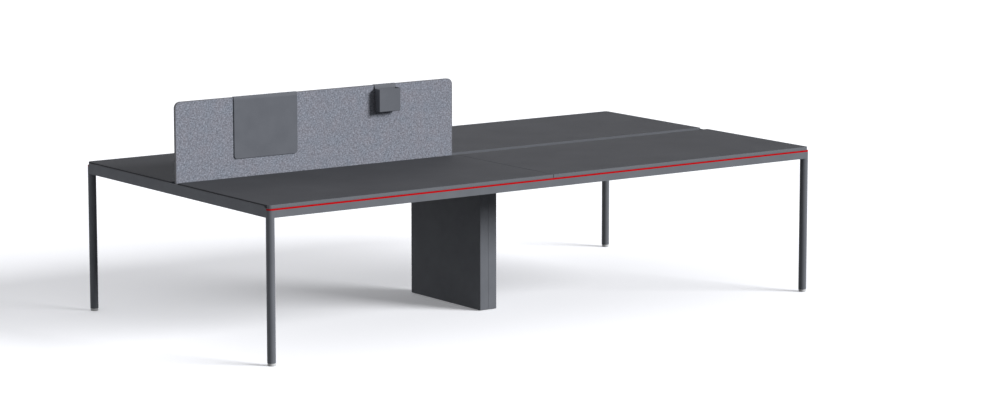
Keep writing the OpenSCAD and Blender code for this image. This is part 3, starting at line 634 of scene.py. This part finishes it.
def thread(bm, centre, radius, z0, z1):
    """A closed screw thread: the radius falls and rises once in each pitch."""
    pitch = THREAD_PITCH * MM
    steps = round((z1 - z0) / pitch * THREAD_RINGS)
    rings = []
    for k in range(steps + 1):
        z = z0 + (z1 - z0) * k / steps
        turns = [(z / pitch - i / THREAD_SIDES) % 1 for i in range(THREAD_SIDES)]
        radii = [radius - THREAD_DEPTH * MM * abs(2 * turn - 1) for turn in turns]
        rings.append(ring(bm, centre, radii, z))
    bm.faces.new(rings[0][::-1])
    bm.faces.new(rings[-1])
    join_rings(bm, rings)


def levelling_foot(node, disc_h):
    low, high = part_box(node)
    centre = (low + high) / 2
    radius = (high.x - low.x) / 2
    r = DISC_EDGE_R * MM
    top = disc_h * MM
    profile = [
        (0, 0),
        *arc((radius - r, r), r, 270, 360, DISC_EDGE_STEPS),
        *arc((radius - r, top - r), r, 0, 90, DISC_EDGE_STEPS),
        (0, top),
    ]
    disc = bmesh.new()
    turned(disc, profile, centre)
    keep_sharp(piece(node + "_disc", disc, FOOT_PLASTIC, node), DISC_SHARP)
    stud = bmesh.new()
    thread(stud, centre, STUD_R * MM, top - STUD_SINK * MM, high.z)
    made = piece(node + "_stud", stud, ZINC_PLATE, node, slot=STUD_SLOT, replaces=False)
    keep_sharp(made, STUD_SHARP)


for quarter in QUARTERS:
    levelling_foot("foot_" + quarter, LEG_DISC_H)
    levelling_foot("base_foot_" + quarter, BASE_DISC_H)

# Screws: one tree puts a socket screw on every point, along the point's own axis. Each is three
# rods along Z, seated at z = 0 with the head below: head, hole of the socket and shank. A rod
# has sides, rings, a radius, a length and its middle's place as a share of that length.
SCREW_RODS = (
    (32, 6, "Head Radius", "Head Height", -0.5),
    (6, 1, "Socket Radius", "Head Height", -0.9),
    (24, 1, "Shank Radius", "Shank Length", 0.5),
)
# Share of its section that a head has lost at its outer end
HEAD_DOME = 0.5
# The end of a set screw that holds its socket and is drawn as its head
SET_SCREW_HEAD = 3
# Width across the flats of each kind's hexagonal socket
SOCKETS = {
    "frame_bolts": 4, "tray_screws": 3, "cable_leg_bolts": 5, "bracket_screws": 3, "leg_bolts": 6,
    "corner_screws": 2.5,
}
# Lengths measured on a screw that differ by less than this are taken as the same
SCREW_TOUCH = 0.1
SCREW_SHARP = 35


def screw_tree():
    tree = bpy.data.node_groups.new("socket_screws", "GeometryNodeTree")
    sockets = tree.interface.new_socket
    sockets("Points", in_out="INPUT", socket_type="NodeSocketGeometry")
    for name in ("Head Radius", "Head Height", "Shank Radius", "Shank Length", "Socket Radius"):
        sockets(name, in_out="INPUT", socket_type="NodeSocketFloat")
    sockets("Finish", in_out="INPUT", socket_type="NodeSocketMaterial")
    sockets("Screws", in_out="OUTPUT", socket_type="NodeSocketGeometry")
    given = add(tree, "NodeGroupInput").outputs

    rods = []
    for sides, rings, radius, length, middle in SCREW_RODS:
        rod = add(tree, "GeometryNodeMeshCylinder", {
            "Vertices": sides, "Side Segments": rings,
            "Radius": given[radius], "Depth": given[length],
        })
        height = add(tree, "ShaderNodeMath", {0: given[length], 1: middle}, operation="MULTIPLY")
        place = add(tree, "ShaderNodeCombineXYZ", {"Z": height.outputs["Value"]})
        rods.append(add(tree, "GeometryNodeTransform", {
            "Geometry": rod.outputs["Mesh"], "Translation": place.outputs["Vector"],
        }).outputs["Geometry"])
    blank, hole, shank = rods

    # The head is drawn in towards its outer end as a dome, and pierced by the socket
    place = add(tree, "GeometryNodeInputPosition").outputs["Position"]
    height = add(tree, "ShaderNodeSeparateXYZ", {"Vector": place}).outputs["Z"]
    share = add(tree, "ShaderNodeMath", {0: height, 1: given["Head Height"]}, operation="DIVIDE")
    square = add(tree, "ShaderNodeMath", {0: share.outputs["Value"], 1: 2.0}, operation="POWER")
    section = add(tree, "ShaderNodeMath", {
        0: square.outputs["Value"], 1: -HEAD_DOME, 2: 1.0,
    }, operation="MULTIPLY_ADD")
    width = add(tree, "ShaderNodeMath", {0: section.outputs["Value"]}, operation="SQRT")
    narrowed = add(tree, "ShaderNodeCombineXYZ", {
        "X": width.outputs["Value"], "Y": width.outputs["Value"], "Z": 1.0,
    })
    domed = add(tree, "ShaderNodeVectorMath", {
        0: place, 1: narrowed.outputs["Vector"],
    }, operation="MULTIPLY")
    head = add(tree, "GeometryNodeSetPosition", {
        "Geometry": blank, "Position": domed.outputs["Vector"],
    })
    pierced = add(tree, "GeometryNodeMeshBoolean", {
        "Mesh 1": head.outputs["Geometry"], "Mesh 2": hole,
    }, operation="DIFFERENCE")
    screw = add(tree, "GeometryNodeJoinGeometry", {"Geometry": [pierced.outputs["Mesh"], shank]})

    axis = add(tree, "GeometryNodeInputNamedAttribute", {
        "Name": "screw_axis",
    }, data_type="FLOAT_VECTOR")
    aimed = add(tree, "FunctionNodeAlignRotationToVector", {
        "Vector": axis.outputs["Attribute"],
    }, axis="Z")
    placed = add(tree, "GeometryNodeInstanceOnPoints", {
        "Points": given["Points"], "Instance": screw.outputs["Geometry"],
        "Rotation": aimed.outputs["Rotation"],
    })
    real = add(tree, "GeometryNodeRealizeInstances", {"Geometry": placed.outputs["Instances"]})
    coated = add(tree, "GeometryNodeSetMaterial", {
        "Geometry": real.outputs["Geometry"], "Material": given["Finish"],
    })
    add(tree, "NodeGroupOutput", {"Screws": coated.outputs["Geometry"]})
    return tree


def loose_solids(bm):
    """The separate solids of a mesh, each as a list of its points."""
    left = set(bm.verts)
    while left:
        found, edge = set(), [left.pop()]
        while edge:
            vert = edge.pop()
            found.add(vert)
            edge.extend(other for e in vert.link_edges if (other := e.other_vert(vert)) in left)
            left.difference_update(edge)
        yield [v.co.copy() for v in found]


def measured_screw(points):
    """Seat, axis, head radius and height, shank radius and length of a plain screw.

    Its head is its wider end, or a stretch of SET_SCREW_HEAD where neither end is wider.
    """
    lows = [min(p[k] for p in points) for k in range(3)]
    highs = [max(p[k] for p in points) for k in range(3)]
    spans = [high - low for low, high in zip(lows, highs)]
    along = spans.index(max(spans))
    low, high = lows[along], highs[along]
    centre = [(lows[k] + highs[k]) / 2 for k in range(3)]
    others = [k for k in range(3) if k != along]
    touch = SCREW_TOUCH * MM

    def radius(p):
        return math.hypot(*(p[k] - centre[k] for k in others))

    def end_radius(place):
        return max(radius(p) for p in points if abs(p[along] - place) < touch)

    head_r, shank_r = end_radius(low), end_radius(high)
    tip, way = low, 1.0
    if head_r < shank_r - touch:
        head_r, shank_r = shank_r, head_r
        tip, way = high, -1.0
    head_h = SET_SCREW_HEAD * MM
    if head_r > shank_r + touch:
        head_h = max(abs(p[along] - tip) for p in points if radius(p) > head_r - touch)
    centre[along] = tip + way * head_h
    axis = [0.0, 0.0, 0.0]
    axis[along] = way
    return centre, axis, head_r, head_h, shank_r, high - low - head_h


SCREWS = screw_tree()


def screws(node, flats):
    """Socket screws in the places and sizes of a node's plain ones, which are all alike."""
    bm = merged_copy(node)
    found = [measured_screw(points) for points in loose_solids(bm)]
    bm.free()
    head_r, head_h, shank_r, shank_l = found[0][2:]
    seats = bpy.data.meshes.new(node + "_points")
    seats.from_pydata([screw[0] for screw in found], [], [])
    axes = seats.attributes.new("screw_axis", "FLOAT_VECTOR", "POINT")
    for i, screw in enumerate(found):
        axes.data[i].vector = screw[1]
    holder = bpy.data.objects.new(node + "_points", seats)
    bpy.context.scene.collection.objects.link(holder)
    modifier = holder.modifiers.new("socket_screws", "NODES")
    modifier.node_group = SCREWS
    # The socket's radius reaches the corners of its hexagon
    values = {
        "Head Radius": head_r, "Head Height": head_h, "Shank Radius": shank_r,
        "Shank Length": shank_l, "Socket Radius": flats * MM / math.sqrt(3), "Finish": ZINC_PLATE,
    }
    for item in SCREWS.interface.items_tree:
        if item.in_out == "INPUT" and item.name in values:
            modifier[item.identifier] = values[item.name]
    evaluated = holder.evaluated_get(bpy.context.evaluated_depsgraph_get())
    plain = bpy.data.meshes.new_from_object(evaluated)
    bpy.data.objects.remove(holder)
    heads = bmesh.new()
    heads.from_mesh(plain)
    keep_sharp(piece(node + "_socket_heads", heads, ZINC_PLATE, node), SCREW_SHARP)


for node, flats in SOCKETS.items():
    screws(node, flats)


def dress_the_nodes():
    """Every CAD node gets its slot's material, for the few that still show."""
    for node, cad in frame["nodes"].items():
        cad.data.materials.clear()
        cad.data.materials.append(SLOT_MATERIALS[NODE_SLOTS[node]])


def seen(tree):
    """1 where a ray shows something to the camera, straight or in a reflection, and 0 elsewhere."""
    path = add(tree, "ShaderNodeLightPath").outputs
    first = add(tree, "ShaderNodeMath", {
        0: path["Is Camera Ray"], 1: path["Is Glossy Ray"],
    }, operation="MAXIMUM")
    both = add(tree, "ShaderNodeMath", {
        0: first.outputs["Value"], 1: path["Is Transmission Ray"],
    }, operation="MAXIMUM")
    return both.outputs["Value"]


def studio_floor():
    """A pale floor that shows white but keeps the desk's shadow, and lights the desk less."""
    reach = FLOOR_REACH
    mesh = bpy.data.meshes.new("studio_floor")
    corners = [(-reach, -reach, 0), (reach, -reach, 0), (reach, reach, 0), (-reach, reach, 0)]
    mesh.from_pydata(corners, [], [(0, 1, 2, 3)])
    floor = bpy.data.objects.new("studio_floor", mesh)
    bpy.context.scene.collection.objects.link(floor)
    floor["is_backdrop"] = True
    paint, tree = new_material("pale_studio_floor")
    white = linear(FLOOR_WHITE)
    matt = add(tree, "ShaderNodeBsdfDiffuse", {"Color": white})
    glow = add(tree, "ShaderNodeEmission", {"Color": white, "Strength": FLOOR_GLOW})
    bright = add(tree, "ShaderNodeAddShader", {
        0: matt.outputs["BSDF"], 1: glow.outputs["Emission"],
    })
    dull = add(tree, "ShaderNodeBsdfDiffuse", {"Color": linear(FLOOR_BOUNCE)})
    total = add(tree, "ShaderNodeMixShader", {
        0: seen(tree), 1: dull.outputs["BSDF"], 2: bright.outputs["Shader"],
    })
    add(tree, "ShaderNodeOutputMaterial", {"Surface": total.outputs["Shader"]})
    mesh.materials.append(paint)
    return floor


def studio_sky():
    """A sky that shows white and lights the desk softly from all round."""
    world = bpy.data.worlds.new("studio_sky")
    bpy.context.scene.world = world
    world.use_nodes = True
    tree = world.node_tree
    tree.nodes.clear()
    strength = add(tree, "ShaderNodeMapRange", {
        "Value": seen(tree), "To Min": SKY_STRENGTH, "To Max": 1.0,
    })
    sky = add(tree, "ShaderNodeBackground", {
        "Color": (1, 1, 1, 1), "Strength": strength.outputs["Result"],
    })
    add(tree, "ShaderNodeOutputWorld", {"Surface": sky.outputs["Background"]})


def lamps(floor):
    """The lamps of the desk, which leave the floor out, and those of the floor alone."""
    lit = {}
    for what, state in (("floor", "INCLUDE"), ("desk", "EXCLUDE")):
        lit[what] = bpy.data.collections.new("lamps_of_the_" + what)
        lit[what].objects.link(floor)
        lit[what].collection_objects[0].light_linking.link_state = state
    for name, place, strength, width, what in LAMPS:
        data = bpy.data.lights.new(name, "SUN")
        data.energy = strength
        data.angle = math.radians(width)
        lamp = bpy.data.objects.new(name, data)
        lamp.rotation_euler = Vector(place).to_track_quat("Z", "Y").to_euler()
        bpy.context.scene.collection.objects.link(lamp)
        lamp.light_linking.receiver_collection = lit[what]


def camera():
    data = bpy.data.cameras.new("camera")
    data.lens = CAMERA_LENS
    data.clip_end = CAMERA_SIGHT
    made = bpy.data.objects.new("camera", data)
    made.location = CAMERA_PLACE
    made.rotation_euler = (math.radians(90 + CAMERA_TILT), 0, -math.radians(CAMERA_HEADING))
    bpy.context.scene.collection.objects.link(made)
    bpy.context.scene.camera = made


dress_the_nodes()
floor = studio_floor()
studio_sky()
lamps(floor)
camera()
bpy.context.scene.view_settings.view_transform = "Standard"

boxes = {"cad": cad_box, "visual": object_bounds()}
{name: [list(corner) for corner in box] for name, box in boxes.items()}
